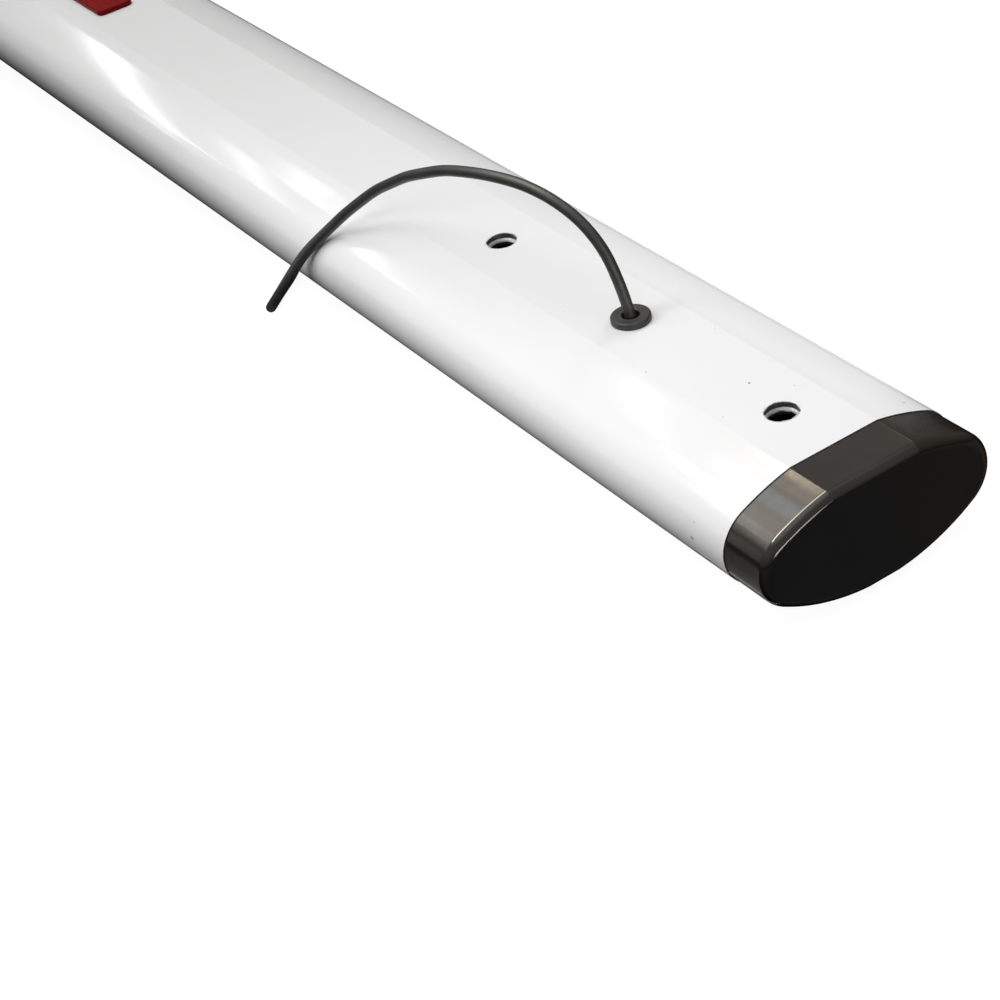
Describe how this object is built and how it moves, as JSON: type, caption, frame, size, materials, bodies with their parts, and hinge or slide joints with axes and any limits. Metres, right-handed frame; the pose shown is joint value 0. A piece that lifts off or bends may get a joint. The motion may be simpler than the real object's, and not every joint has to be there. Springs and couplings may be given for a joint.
{
  "type": "barrier boom arm",
  "caption": "Flat-oval white aluminium barrier boom arm with a bolt-on mounting end, pull-off end caps, red marker lamps and a lighting cable through a grommet.",
  "frame": {"origin": "middle of the two mounting bolt holes, on the flat mounting face", "axes": "+X along the boom from the mounting end to the tip, +Z out of the flat mounting face, Y across the boom"},
  "size_m": [3.04, 0.151, 0.0884],
  "materials": {
    "white_powder_coat": "smooth high-gloss white powder coat on aluminium",
    "bare_aluminium": "mill-finish extrusion, cut edges bare",
    "cap_plastic": "moulded black plastic with a soft gloss and light scuffs",
    "grommet_rubber": "moulded dark grey rubber",
    "cable_sheath": "smooth black PVC sheath, satin",
    "tie_nylon": "black nylon",
    "boot_rubber": "ribbed soft rubber",
    "plug_plastic": "moulded black polyamide",
    "insert_plastic": "natural polyamide",
    "contact_brass": "plated contact pins",
    "seal_silicone": "red silicone ring",
    "natural_nylon": "natural white nylon",
    "splice_plastic": "gel-filled splice, dark blue-grey",
    "lamp_wire_red": "red two-core lamp lead",
    "gasket_foam": "closed-cell adhesive foam",
    "lens_red": "deep red moulded lens",
    "board_white": "white solder-masked board",
    "led_phosphor": "light-emitting diode package",
    "resistor_black": "chip resistor"
  },
  "bodies": {
    "boom": {"boom_tube": "white_powder_coat", "mount_stiffener": "bare_aluminium", "cable_grommet": "grommet_rubber", "light_cable": "cable_sheath", "light_cable_coil": "cable_sheath", "light_cable_tail": "cable_sheath", "coil_ties": "tie_nylon", "plug_boot": "boot_rubber", "plug_shell": "plug_plastic", "plug_insert": "insert_plastic", "plug_pins": "contact_brass", "plug_seal": "seal_silicone", "inner_lead": "cable_sheath", "lead_stop_tie": "natural_nylon", "wire_clips": "natural_nylon", "lamp_leads": "lamp_wire_red", "wire_splices": "splice_plastic", "lamp_gaskets": "gasket_foam", "lamp_lenses": "lens_red", "lamp_boards": "board_white", "lamp_leds": "led_phosphor", "lamp_resistors": "resistor_black"},
    "mount_cap": {"mount_end_cap": "cap_plastic"},
    "tip_cap": {"tip_end_cap": "cap_plastic"},
    "coupling_nut": {"plug_nut": "plug_plastic"}
  },
  "joints": [
    {"name": "mount_cap_pull", "type": "slide", "parent": "boom", "child": "mount_cap", "axis": [-1, 0, 0], "range_m": [0, 0.06]},
    {"name": "tip_cap_pull", "type": "slide", "parent": "boom", "child": "tip_cap", "axis": [1, 0, 0], "range_m": [0, 0.06]},
    {"name": "coupling_nut_spin", "type": "hinge", "parent": "boom", "child": "coupling_nut", "pos_m": [0.643, 0.058, -0.036], "axis": [1, 0, 0], "continuous": true}
  ]
}
